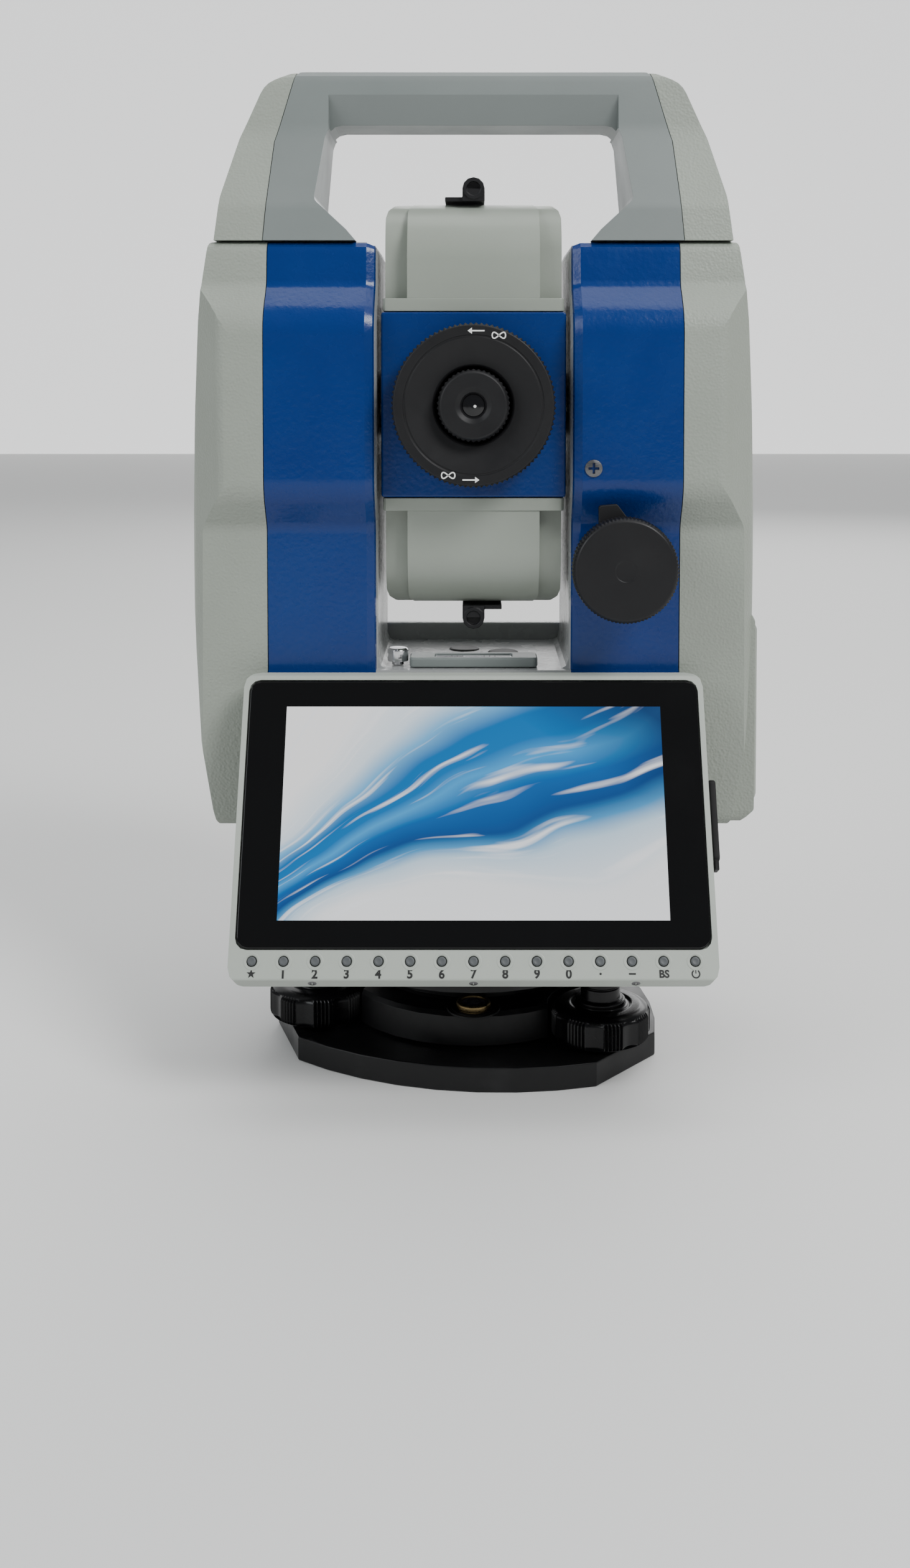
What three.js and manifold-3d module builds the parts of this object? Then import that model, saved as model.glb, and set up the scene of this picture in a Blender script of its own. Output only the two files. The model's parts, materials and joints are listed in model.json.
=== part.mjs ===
// Surveying total station on its three-screw tribrach, in millimetres, +Z up.
// The origin is on the plumb axis at the underside of the tribrach base plate,
// and the eyepiece and the display face -Y.
import * as THREE from "three";
import { mergeVertices } from "three/addons/utils/BufferGeometryUtils.js";
import Module from "manifold-3d";

const wasm = await Module();
wasm.setup();

// ---------------------------------------------------------------- driving dimensions

const GAP = 0.3; // left between pieces that touch
const ROUND = 24; // sides of a large circle
const SMALL_ROUND = 12; // sides of a small one

// Tribrach
const PLATE_T = 9; // base plate thickness
const PLATE_CHORD_R = 52.2; // distance of a side's chord from the axis
const PLATE_HALF_SIDE = 55; // half the length of that chord
const PLATE_BOW = 14; // how far a side bows out past its chord
const THREAD_R = 7.94; // 5/8 inch tripod screw
const TRIBRACH_TURN = -11.5; // degrees about the plumb axis
const SCREW_CIRCLE_R = 62;
const SCREW_ANGLES = [210, 330, 90];
const KNOB_R = 18.2;
const KNOB_BOTTOM = 10.2;
const KNOB_TOP = 22.6;
const ARM_BOTTOM = 33; // underside of the tribrach's three arms
const STEM_R = 7.2;
const STEM_TOP = 43.5;
const HUB_R = 51;
const BODY_R = 54;
const BODY_TOP = 44.6;
const SOCKET_R = 30; // bore that takes the instrument's plug
const LEVEL_RADIUS = 46.5; // circular level's distance from the axis

// Vertical axis
const FLANGE_TOP = 51;
const SPINDLE_R = 12;
const CIRCLE_R = 29;

// Alidade
const FORK_X = 35; // half the gap between the columns
const SEAM_X = 75; // where column and side cover meet
const COLUMN_TOP = 300;
const FLOOR_Z = 143.5;
const FLOOR_T = 14;
const LEDGE_H = 7;
const BASE_BOTTOM = 51.6;
const BASE_HALF_Y = 36;
const COVER_BOTTOM = 85;
const COVER_WALL = 2.6;
const COLUMN_WALL = 5;
const TRUNNION_Z = 240.5;
const AXLE_R = 10.5;
const BEARING_R = 14;

// Battery on the right side cover
const BATTERY_X = [82, 105.8];
const BATTERY_HALF_Y = 26;
const BATTERY_Z = [92, 159.5];

// Handle
const HANDLE_TOP = 365;
const CHEEK_X = 77; // where grip and cheek meet at the bottom

// Display
const PANEL_TOP = [-46, 143.3]; // y and z of the panel's upper edge
const PANEL_BOTTOM = [-92, 49.7];
const PANEL_HALF_W = 82.2;
const PANEL_DEPTH = 12;
const DISPLAY_FLOOR = 46.2;
const GLASS_W = 160;
const GLASS_H = 92.5;
const GLASS_Y = 4.1; // glass centre above the panel centre
const LCD_W = 133;
const LCD_H = 73.7;
const LCD_Y = 4.0;
const KEY_COUNT = 15;
const KEY_PITCH = 10.6;
const KEY_Y = -46.1;
const KEY_R = 1.5;

// Telescope
const BLOCK = 33.5; // half the width and height of the telescope block
const BLOCK_HALF_Y = 38;
const COVER_TOP = 74.4;
const FOCUS_R = 29.2;
const EYEPIECE_R = 12.9;
const LENS_R = 21;
const OBJECTIVE_END = 88.4;
const SIGHT_R = 4.1;
const SIGHT_CENTRE = 79.3;

// Slow-motion knobs
const TANGENT_X = 53.3;
const TANGENT_Z = 182.8;
const TANGENT_R = 18.7;
const SIDE_KNOB_Z = 65.5;

// ---------------------------------------------------------------- finishes

const finish = (color, roughness, metalness) =>
  new THREE.MeshStandardMaterial({ color, roughness, metalness });

const BLUE = finish(0x0c3c7d, 0.35, 0.1);
const GREY = finish(0x9ba098, 0.6, 0);
const HANDLE_GREY = finish(0x8d9396, 0.55, 0);
const BEZEL_GREY = finish(0xa6aca4, 0.55, 0);
const BLACK = finish(0x17181a, 0.5, 0);
const BLACK_METAL = finish(0x141517, 0.35, 0.3);
const GLASS = finish(0x101112, 0.05, 0);
const SCREEN = finish(0x2d6fb4, 0.3, 0);
const STEEL = finish(0xb8babd, 0.3, 1);
const BRASS = finish(0xb08d4a, 0.35, 1);
const KEY_GREY = finish(0x4a4e50, 0.6, 0);
const LENS = finish(0x20303a, 0.02, 0);

// ---------------------------------------------------------------- solids

// A closed geometry as a solid whose faces point outwards.
function solid(geometry) {
  const bare = geometry.index ? geometry.toNonIndexed() : geometry.clone();
  bare.deleteAttribute("normal");
  bare.deleteAttribute("uv");
  const merged = mergeVertices(bare, 1e-3);
  const index = merged.index.array;
  const kept = [];
  for (let i = 0; i < index.length; i += 3) {
    const [a, b, c] = index.slice(i, i + 3);
    if (a !== b && b !== c && a !== c) kept.push(a, b, c);
  }
  const vertProperties = new Float32Array(merged.attributes.position.array);
  const build = (tris) =>
    new wasm.Manifold(new wasm.Mesh({ numProp: 3, vertProperties, triVerts: new Uint32Array(tris) }));
  const made = build(kept);
  return made.volume() > 0 ? made : build(kept.reverse());
}

function geometryOf(manifold) {
  const mesh = manifold.getMesh();
  const geometry = new THREE.BufferGeometry();
  geometry.setAttribute("position", new THREE.BufferAttribute(mesh.vertProperties, 3));
  geometry.setIndex(new THREE.BufferAttribute(mesh.triVerts, 1));
  return geometry;
}

function part(name, body, material) {
  const mesh = new THREE.Mesh(geometryOf(body), material);
  mesh.name = name;
  return mesh;
}

const join = (first, ...rest) => rest.reduce((all, next) => all.add(next), first);
const cut = (first, ...rest) => rest.reduce((left, next) => left.subtract(next), first);
const common = (first, ...rest) => rest.reduce((left, next) => left.intersect(next), first);

// A box between two corners.
function box(low, high) {
  const size = high.map((value, i) => value - low[i]);
  const geometry = new THREE.BoxGeometry(...size);
  geometry.translate(...low.map((value, i) => value + size[i] / 2));
  return solid(geometry);
}

// An outline of [x, y, radius] corners, each rounded to its radius by an arc.
function outline(corners, steps = 3) {
  const points = [];
  corners.forEach(([x, y, radius = 0], i) => {
    const corner = new THREE.Vector2(x, y);
    if (!radius) {
      points.push(corner);
      return;
    }
    const before = corners[(i + corners.length - 1) % corners.length];
    const after = corners[(i + 1) % corners.length];
    const toBefore = new THREE.Vector2(before[0] - x, before[1] - y).normalize();
    const toAfter = new THREE.Vector2(after[0] - x, after[1] - y).normalize();
    const half = Math.acos(THREE.MathUtils.clamp(toBefore.dot(toAfter), -1, 1)) / 2;
    const reach = radius / Math.tan(half);
    const centre = toBefore.clone().add(toAfter).normalize();
    centre.multiplyScalar(radius / Math.sin(half)).add(corner);
    const from = toBefore.multiplyScalar(reach).add(corner).sub(centre);
    const to = toAfter.multiplyScalar(reach).add(corner).sub(centre);
    let turn = to.angle() - from.angle();
    if (turn > Math.PI) turn -= 2 * Math.PI;
    if (turn < -Math.PI) turn += 2 * Math.PI;
    for (let k = 0; k <= steps; k++) {
      points.push(from.clone().rotateAround(new THREE.Vector2(), (turn * k) / steps).add(centre));
    }
  });
  return new THREE.Shape(points);
}

const rectangle = (halfX, halfY, radius, x = 0, y = 0) =>
  outline([
    [x - halfX, y - halfY, radius],
    [x + halfX, y - halfY, radius],
    [x + halfX, y + halfY, radius],
    [x - halfX, y + halfY, radius],
  ]);

// Extrusions of an outline: along Z from an (x, y) outline, along X from (y, z), along Y from (x, z).
// A bevel rounds the two end edges and stays inside the outline.
function prism(shape, from, to, bevel = 0) {
  const geometry = new THREE.ExtrudeGeometry(shape, {
    depth: to - from - 2 * bevel,
    bevelEnabled: bevel > 0,
    bevelThickness: bevel,
    bevelSize: bevel,
    bevelOffset: -bevel,
    bevelSegments: 2,
    steps: 1,
  });
  geometry.translate(0, 0, from + bevel);
  return geometry;
}

const AXIS = {
  x: new THREE.Vector3(1, 0, 0),
  y: new THREE.Vector3(0, 1, 0),
  z: new THREE.Vector3(0, 0, 1),
};
const TURN_TO_X = new THREE.Matrix4().makeBasis(AXIS.y, AXIS.z, AXIS.x);
const alongZ = (shape, from, to, bevel) => solid(prism(shape, from, to, bevel));
const alongX = (shape, from, to, bevel) =>
  solid(prism(shape, from, to, bevel).applyMatrix4(TURN_TO_X));
const alongY = (shape, from, to, bevel) =>
  solid(prism(shape, -to, -from, bevel).rotateX(Math.PI / 2));

// A turned piece: [radius, height] points up the outside, about Z.
function turned(profile, sides = ROUND) {
  const points = profile.map(([radius, height]) => new THREE.Vector2(radius, height));
  return new THREE.LatheGeometry(points, sides).rotateX(Math.PI / 2);
}

const turnedZ = (profile, sides) => solid(turned(profile, sides));
// Heights run towards -Y, so that a larger height is nearer the observer.
const turnedFront = (profile, sides) => solid(turned(profile, sides).rotateX(Math.PI / 2));
const turnedX = (profile, sides) => solid(turned(profile, sides).rotateY(Math.PI / 2));

const disc = (radius, from, to) => [
  [0, from],
  [radius, from],
  [radius, to],
  [0, to],
];

const ring = (inner, outer, from, to) => [
  [inner, from],
  [outer, from],
  [outer, to],
  [inner, to],
  [inner, from],
];

const polar = (radius, degrees) => {
  const angle = THREE.MathUtils.degToRad(degrees);
  return [radius * Math.cos(angle), radius * Math.sin(angle)];
};

// ---------------------------------------------------------------- tribrach

// A rounded triangle: three bowed sides, with a straight edge across each corner.
function plateOutline() {
  const bowRadius = (PLATE_HALF_SIDE ** 2 + PLATE_BOW ** 2) / (2 * PLATE_BOW);
  const bowCentre = PLATE_CHORD_R + PLATE_BOW - bowRadius;
  const sweep = Math.asin(PLATE_HALF_SIDE / bowRadius);
  const steps = 8;
  const points = [];
  for (const side of SCREW_ANGLES.map((angle) => angle + 60).sort((a, b) => a - b)) {
    const turn = THREE.MathUtils.degToRad(side);
    for (let k = 0; k <= steps; k++) {
      const angle = -sweep + (2 * sweep * k) / steps;
      const x = bowCentre + bowRadius * Math.cos(angle);
      const y = bowRadius * Math.sin(angle);
      points.push(new THREE.Vector2(x, y).rotateAround(new THREE.Vector2(), turn));
    }
  }
  return new THREE.Shape(points);
}

function basePlate() {
  const sockets = SCREW_ANGLES.map((angle) =>
    turnedZ(disc(5.8, 3, PLATE_T + 1), SMALL_ROUND).translate([...polar(SCREW_CIRCLE_R, angle), 0]),
  );
  return cut(
    alongZ(plateOutline(), 0, PLATE_T, 0.8),
    turnedZ(disc(THREAD_R, -1, PLATE_T + 1)),
    turnedZ(disc(22, 6, PLATE_T + 1)),
    ...sockets,
  );
}

// Foot, knob, collar and threaded stem of one levelling screw.
function footScrew() {
  return turnedZ([
    [0, 3.3],
    [5, 3.3],
    [5, KNOB_BOTTOM],
    [KNOB_R - 1.5, KNOB_BOTTOM],
    [KNOB_R, KNOB_BOTTOM + 1.5],
    [KNOB_R, KNOB_TOP - 2],
    [KNOB_R - 2, KNOB_TOP],
    [9, KNOB_TOP],
    [9, KNOB_TOP + 1.8],
    [STEM_R, KNOB_TOP + 1.8],
    [STEM_R, STEM_TOP],
    [0, STEM_TOP],
  ]);
}

function tribrachBody() {
  const core = turnedZ(
    [
      [0, PLATE_T + 1],
      [HUB_R, PLATE_T + 1],
      [HUB_R, 20.6],
      [HUB_R - 1.4, 22],
      [39.5, 22],
      [38.5, 23],
      [38.5, 29.5],
      [BODY_R, 30.5],
      [BODY_R, BODY_TOP],
      [0, BODY_TOP],
    ],
    32,
  );
  const arms = SCREW_ANGLES.map((angle) => {
    const arm = outline([
      [30, -22, 0],
      [SCREW_CIRCLE_R + 12, -12, 9],
      [SCREW_CIRCLE_R + 12, 12, 9],
      [30, 22, 0],
    ]);
    return alongZ(arm, ARM_BOTTOM, BODY_TOP, 0.8).rotate([0, 0, angle]);
  });
  const rooms = SCREW_ANGLES.map((angle) =>
    turnedZ([
      [0, 0],
      [KNOB_R + 1.3, 0],
      [KNOB_R + 1.3, ARM_BOTTOM],
      [STEM_R + 0.9, ARM_BOTTOM],
      [STEM_R + 0.9, BODY_TOP + 1],
      [0, BODY_TOP + 1],
    ]).translate([...polar(SCREW_CIRCLE_R, angle), 0]),
  );
  const plugSocket = turnedZ(disc(SOCKET_R, 14, BODY_TOP + 1));
  const throat = turnedZ(disc(12, 0, 20), SMALL_ROUND);
  return cut(join(core, ...arms), plugSocket, throat, ...rooms);
}

// The bubble's round case, standing on the shoulder of the tribrach body's hub.
function circularLevel() {
  return turnedZ(
    [
      [0, 22 + GAP],
      [6.2, 22 + GAP],
      [6.2, 24.4],
      [5.6, 25],
      [0, 25],
    ],
    SMALL_ROUND,
  );
}

// Short shaft with a three-sided grip, turned to clamp the instrument's plug.
function lockKnob() {
  const shaft = turnedX(disc(4, BODY_R + GAP, 66), SMALL_ROUND);
  const grip = alongX(rectangle(4, 7.5, 3.5), 60, 66, 1);
  return join(shaft, grip);
}

function tribrach() {
  const group = new THREE.Group();
  group.rotation.z = THREE.MathUtils.degToRad(TRIBRACH_TURN);
  group.add(part("base_plate", basePlate(), BLACK_METAL));
  SCREW_ANGLES.forEach((angle, i) => {
    const screw = part("foot_screw_" + (i + 1), footScrew(), BLACK);
    screw.position.set(...polar(SCREW_CIRCLE_R, angle), 0);
    group.add(screw);
  });
  group.add(part("tribrach_body", tribrachBody(), BLACK_METAL));
  const level = part("circular_level", circularLevel(), BRASS);
  level.position.set(...polar(LEVEL_RADIUS, 270 - TRIBRACH_TURN), 0);
  group.add(level);
  const lock = part("tribrach_lock_knob", lockKnob(), BLACK);
  lock.position.z = 38;
  lock.rotation.z = THREE.MathUtils.degToRad(150);
  group.add(lock);
  return group;
}

// ---------------------------------------------------------------- vertical axis

// The plug that the tribrach clamps, with the plate that carries the instrument.
function axisFlange() {
  return turnedZ([
    [SPINDLE_R + 0.5, 16],
    [SOCKET_R - 0.5, 16],
    [SOCKET_R - 0.5, BODY_TOP + 0.6],
    [44, BODY_TOP + 0.6],
    [44, FLANGE_TOP],
    [20, FLANGE_TOP],
    [20, 60],
    [SPINDLE_R + 0.5, 60],
    [SPINDLE_R + 0.5, 16],
  ]);
}

function verticalAxis() {
  const group = new THREE.Group();
  const spindle = turnedZ(disc(SPINDLE_R, 18, 75));
  const circlePlate = turnedZ(ring(20 + GAP, CIRCLE_R, 56, 57.5));
  group.add(part("axis_flange", axisFlange(), STEEL));
  group.add(part("axis_spindle", spindle, STEEL));
  group.add(part("horizontal_circle", circlePlate, LENS));
  return group;
}

// ---------------------------------------------------------------- alidade frame

// Side view of column and side cover, as (y, z): the swelling around the trunnion is deeper.
// A positive inset shrinks it for the hollow inside.
function flankOutline(bottom, top, inset = 0) {
  const side = (sign) => [
    [sign * (32 - inset), top - inset, inset ? 1 : 5],
    [sign * (34 - inset), 284, 6],
    [sign * (45.5 - inset), 272, 16],
    [sign * (45.5 - inset), 209, 16],
    [sign * (36 - inset), 196, 8],
    [sign * (35 - inset), bottom + inset, 6],
  ];
  return outline([...side(-1), ...side(1).reverse()]);
}

function column(side) {
  const low = FLOOR_Z - FLOOR_T;
  const outer = alongX(flankOutline(low, COLUMN_TOP), FORK_X, SEAM_X + 5, 4);
  const trim = box([0, -60, 0], [SEAM_X, 60, 400]);
  const pocket = alongX(
    flankOutline(FLOOR_Z + 4, COLUMN_TOP, COLUMN_WALL),
    FORK_X + COLUMN_WALL,
    SEAM_X + 1,
  );
  const bore = turnedX(disc(BEARING_R, FORK_X - 2, SEAM_X)).translate([0, 0, TRUNNION_Z]);
  const made = cut(common(outer, trim), pocket, bore);
  return side > 0 ? made : made.mirror([1, 0, 0]);
}

function yokeFrame() {
  const low = FLOOR_Z - FLOOR_T;
  const floor = box([-SEAM_X, -BASE_HALF_Y, low], [SEAM_X, BASE_HALF_Y + 4, FLOOR_Z]);
  const ledge = alongX(
    outline([
      [34, FLOOR_Z - 2],
      [40, FLOOR_Z - 2],
      [40, FLOOR_Z + LEDGE_H, 1.5],
      [34.5, FLOOR_Z + LEDGE_H, 1.5],
    ]),
    -FORK_X - 6,
    FORK_X + 6,
  );
  const fillets = [-1, 1].map((side) =>
    alongY(
      outline([
        [side * (FORK_X + 1), FLOOR_Z - 1],
        [side * (FORK_X - 2.6), FLOOR_Z - 1],
        [side * (FORK_X - 2.6), FLOOR_Z],
        [side * (FORK_X - 0.9), FLOOR_Z + 1],
        [side * FORK_X, FLOOR_Z + 4],
        [side * (FORK_X + 1), FLOOR_Z + 4],
      ]),
      -32,
      35,
    ),
  );
  const tangentBore = turnedFront(disc(7.6, 20, 60), SMALL_ROUND).translate([TANGENT_X, 0, TANGENT_Z]);
  return cut(join(floor, column(-1), column(1), ledge, ...fillets), tangentBore);
}

function alidadeBase() {
  const block = alongZ(rectangle(SEAM_X - 1, BASE_HALF_Y, 12), BASE_BOTTOM, FLOOR_Z - FLOOR_T - GAP, 2);
  const chamber = turnedZ([
    [0, 50],
    [CIRCLE_R + 4, 50],
    [CIRCLE_R + 4, 76],
    [0, 76],
  ]);
  const shaftRoom = turnedX(disc(5, 50, 80), SMALL_ROUND).translate([0, 0, SIDE_KNOB_Z]);
  return cut(block, chamber, shaftRoom);
}

// Half of the outer shell of one flank, swept from three views: front, side and top.
function flankBody(inset) {
  const front = outline([
    [SEAM_X + GAP - 2 * inset, COLUMN_TOP - inset],
    [SEAM_X + GAP - 2 * inset, COVER_BOTTOM + inset],
    [94.2 - inset, COVER_BOTTOM + inset, 3],
    [95.8 - inset, 92],
    [99.9 - inset, 117],
    [103 - inset, 165],
    [103.3 - inset, 196],
    [101.8 - inset, 240],
    [100.1 - inset, 271],
    [98.4 - inset, 287],
    [96.6 - inset, COLUMN_TOP - inset, 2],
  ]);
  const top = outline([
    [SEAM_X - 10, -45.5 + inset],
    [91 - inset, -45.5 + inset, 8],
    [103.5 - inset, -30 + inset, 14],
    [103.5 - inset, 30 - inset, 14],
    [91 - inset, 45.5 - inset, 8],
    [SEAM_X - 10, 45.5 - inset],
  ]);
  return common(
    alongY(front, -60, 60),
    alongX(flankOutline(COVER_BOTTOM, COLUMN_TOP, inset), 60, 120),
    alongZ(top, 60, 310),
  );
}

function sideCover() {
  return cut(flankBody(0), flankBody(COVER_WALL));
}

function batteryBay() {
  const reach = GAP + 0.2;
  return box(
    [BATTERY_X[0] - reach, -BATTERY_HALF_Y - reach, BATTERY_Z[0] - reach],
    [BATTERY_X[1] + 9, BATTERY_HALF_Y + reach, BATTERY_Z[1] + reach],
  );
}

// A swelling round the battery, so that the pack lies flush in it; its lower end is cut off at 45 degrees.
function batteryFrame() {
  const [halfY, low, high] = [BATTERY_HALF_Y + 5, 85.2, 165.5];
  const profile = outline([
    [98, high],
    [101.5, high],
    [103.8, 161, 3],
    [103.8, 90.5, 2],
    [98.5, low],
    [94, low],
    [94, 100],
    [98, 120],
  ]);
  const face = rectangle(halfY, (high - low) / 2, 5, 0, (high + low) / 2);
  return common(alongY(profile, -halfY, halfY), alongX(face, 90, 110));
}

function batteryPack() {
  const [low, high] = BATTERY_X;
  const middle = (BATTERY_Z[0] + BATTERY_Z[1]) / 2;
  const half = (BATTERY_Z[1] - BATTERY_Z[0]) / 2;
  const body = alongX(rectangle(BATTERY_HALF_Y, half, 3, 0, middle), low, high, 2.5);
  return cut(body, box([high - 7, -7, BATTERY_Z[1] - 7], [high + 1, 7, BATTERY_Z[1] + 1]));
}

function batteryLatch() {
  const top = BATTERY_Z[1];
  return alongX(rectangle(6.4, 2.8, 1.2, 0, top - 3.6), BATTERY_X[1] - 4.6, BATTERY_X[1] - 0.8, 0.5);
}

// ---------------------------------------------------------------- handle

// Side view of handle grip and cheeks: the depth falls from the columns' to the bar's.
function handleSide(bottom, inset = 0) {
  const side = (sign) => [
    [sign * (32 - inset), bottom],
    [sign * (30 - inset), 313, 12],
    [sign * (17 - inset), 342, 20],
    [sign * (15 - inset), HANDLE_TOP - inset, 5],
  ];
  return outline([...side(-1), ...side(1).reverse()]);
}

function handleGrip() {
  const bottom = COLUMN_TOP + GAP;
  const arch = outline([
    [-CHEEK_X + GAP, bottom],
    [-43, bottom],
    [-46.5, 304.4],
    [-58.5, 315.5, 3],
    [-54.5, 345, 6],
    [54.5, 345, 6],
    [58.5, 315.5, 3],
    [46.5, 304.4],
    [43, bottom],
    [CHEEK_X - GAP, bottom],
    [74 - GAP, 338],
    [66 - GAP, HANDLE_TOP, 4],
    [-66 + GAP, HANDLE_TOP, 4],
    [-74 + GAP, 338],
  ]);
  const whole = common(alongY(arch, -40, 40), alongX(handleSide(bottom), -90, 90));
  // the bar slopes inwards towards the window, in front and behind
  const slopes = [-1, 1].map((side) =>
    alongX(
      outline([
        [side * 30, 343],
        [side * 10.5, 343],
        [side * 16.4, 357],
        [side * 30, 357],
      ]),
      -54,
      54,
    ),
  );
  return cut(whole, ...slopes);
}

function handleCheek() {
  const bottom = COLUMN_TOP + GAP;
  const cheek = outline([
    [CHEEK_X, bottom],
    [94.7, bottom],
    [92.8, 316.6, 20],
    [86.8, 339.5, 20],
    [77.8, 359.8, 10],
    [66, HANDLE_TOP],
    [74, 338],
  ]);
  return common(alongY(cheek, -40, 40, 0), alongX(handleSide(bottom, 0.4), 50, 110));
}

// ---------------------------------------------------------------- levels and knobs on the alidade

function plateLevel() {
  const low = FLOOR_Z + GAP;
  const housing = alongZ(rectangle(23.6, 6.5, 2, 0, -26), low, low + 3.6, 0.6);
  const window = alongZ(rectangle(14.4, 3.6, 1, 0, -26), low + 2, low + 5);
  return cut(housing, window);
}

function capstanScrew() {
  return turnedZ(
    [
      [0, FLOOR_Z + GAP],
      [3.9, FLOOR_Z + GAP],
      [3.9, FLOOR_Z + 6],
      [3.3, FLOOR_Z + 6.6],
      [0, FLOOR_Z + 6.6],
    ],
    SMALL_ROUND,
  ).translate([-28.1, -25, 0]);
}

// Knob on its shaft; heights run out of the casting.
const KNOB_OUT = 62;
function verticalTangentKnob() {
  return turnedFront([
    [0, 30],
    [4.5, 30],
    [4.5, 51.5],
    [TANGENT_R - 1, 51.5],
    [TANGENT_R, 52.5],
    [TANGENT_R, KNOB_OUT - 1.2],
    [TANGENT_R - 1.2, KNOB_OUT],
    [0, KNOB_OUT],
  ]);
}

function verticalClampLever() {
  const collar = turnedFront(ring(5, 12, 46.6, 50.8), SMALL_ROUND);
  const sleeve = turnedFront(ring(5, 7, 38, 47), SMALL_ROUND);
  const tab = alongY(
    outline([
      [-5, 6],
      [3.5, 8],
      [3.5, 15],
      [-2.2, 22.6, 1],
      [-8.8, 22, 1],
      [-8.6, 13],
    ]),
    -50.8,
    -46.6,
  );
  return cut(join(collar, tab, sleeve), turnedFront(disc(5, 30, 60), SMALL_ROUND));
}

function horizontalTangentKnob() {
  return turnedX(
    [
      [0, 55],
      [3.6, 55],
      [3.6, 79],
      [11.2, 79],
      [12, 80],
      [12, 87.4],
      [11, 88.4],
      [0, 88.4],
    ],
    24,
  );
}

function horizontalClampLever() {
  const collar = turnedX(ring(4, 9, 74.6, 78.4), SMALL_ROUND);
  const tab = alongX(
    outline([
      [-18, -3, 1],
      [-6, -4],
      [-6, 4],
      [-18, 3, 1],
    ]),
    74.6,
    78.4,
  );
  return cut(join(collar, tab), turnedX(disc(4, 70, 80), SMALL_ROUND));
}

// ---------------------------------------------------------------- display

const panelRun = PANEL_TOP[0] - PANEL_BOTTOM[0];
const panelRise = PANEL_TOP[1] - PANEL_BOTTOM[1];
const PANEL_TILT = Math.atan2(panelRun, panelRise);
const PANEL_CENTRE = [
  0,
  (PANEL_TOP[0] + PANEL_BOTTOM[0]) / 2,
  (PANEL_TOP[1] + PANEL_BOTTOM[1]) / 2,
];

// Places a solid made in panel coordinates: x right, y up the panel, z out of it.
const onPanel = (body) =>
  body.rotate([90 - THREE.MathUtils.radToDeg(PANEL_TILT), 0, 0]).translate(PANEL_CENTRE);

const keyPlaces = Array.from({ length: KEY_COUNT }, (_, i) => (i - (KEY_COUNT - 1) / 2) * KEY_PITCH);

function displayBezel() {
  const back = PANEL_DEPTH / Math.cos(PANEL_TILT);
  const slope = panelRun / panelRise;
  const frontAtFloor = PANEL_BOTTOM[0] - (PANEL_BOTTOM[1] - DISPLAY_FLOOR) * slope;
  const rear = -37.2;
  const rearZ = PANEL_TOP[1] - (PANEL_TOP[0] + back - rear) / slope;
  const body = alongX(
    outline([
      [...PANEL_TOP, 1.2],
      [...PANEL_BOTTOM, 0.8],
      [PANEL_BOTTOM[0] + 3.4, DISPLAY_FLOOR, 0.8],
      [frontAtFloor + back, DISPLAY_FLOOR],
      [rear, rearZ],
      [rear, PANEL_TOP[1] + 2.2],
    ]),
    -PANEL_HALF_W,
    PANEL_HALF_W,
  );
  const face = alongZ(rectangle(PANEL_HALF_W, 54, 6), -60, 5);
  const paneRoom = alongZ(rectangle(GLASS_W / 2 + GAP, GLASS_H / 2 + GAP, 4, 0, GLASS_Y), -2, 9);
  const lcdRoom = alongZ(rectangle(LCD_W / 2 + 1, LCD_H / 2 + 1, 1, 0, LCD_Y), -9, 2);
  const keyRooms = keyPlaces.map((x) =>
    turnedZ(disc(KEY_R + 0.4, -6, 3), 8).translate([x, KEY_Y, 0]),
  );
  return cut(common(body, onPanel(face)), onPanel(join(paneRoom, lcdRoom)), ...keyRooms.map(onPanel));
}

// The wedge between the bezel and the front of the alidade base.
function displayBack() {
  const slope = panelRun / panelRise;
  const offset = (PANEL_DEPTH + GAP) / Math.cos(PANEL_TILT);
  const faceY = (z) => PANEL_TOP[0] + offset - (PANEL_TOP[1] - z) * slope;
  const rear = -BASE_HALF_Y - GAP;
  const low = DISPLAY_FLOOR + 1.5;
  const high = PANEL_TOP[1] - (PANEL_TOP[0] + offset - rear) / slope - 1.5;
  return alongX(
    outline([
      [rear, high],
      [faceY(low), low],
      [-60, low, 6],
      [rear, 74],
    ]),
    -70,
    70,
    2.5,
  );
}

function keyButton() {
  return turnedZ(
    [
      [0, -4.5],
      [KEY_R, -4.5],
      [KEY_R, 0.8],
      [0, 0.8],
    ],
    8,
  );
}

// Rubber flap over the sockets on the panel's right edge.
function portCover() {
  const flap = alongX(rectangle(4.5, 14, 1.5), 0, 2.4, 0.6);
  return join(flap, box([0.6, -4, -17], [2, 2, -13]));
}

function display() {
  const group = new THREE.Group();
  group.add(part("display_bezel", displayBezel(), BEZEL_GREY));
  group.add(part("display_back", displayBack(), BLACK));
  const face = new THREE.Group();
  face.position.set(...PANEL_CENTRE);
  face.rotation.x = Math.PI / 2 - PANEL_TILT;
  const pane = alongZ(rectangle(GLASS_W / 2, GLASS_H / 2, 4, 0, GLASS_Y), -1.7, 0);
  const lcd = alongZ(rectangle(LCD_W / 2, LCD_H / 2, 0.6, 0, LCD_Y), -6, -2.1);
  face.add(part("display_glass", pane, GLASS));
  face.add(part("lcd_panel", lcd, SCREEN));
  keyPlaces.forEach((x, i) => {
    const key = part("key_" + String(i + 1).padStart(2, "0"), keyButton(), KEY_GREY);
    key.position.set(x, KEY_Y, 0);
    face.add(key);
  });
  group.add(face);
  const cover = part("port_cover", portCover(), BLACK);
  cover.position.set(PANEL_HALF_W + GAP, -63.2, 95);
  cover.rotation.x = -PANEL_TILT;
  group.add(cover);
  return group;
}

// ---------------------------------------------------------------- telescope

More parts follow.
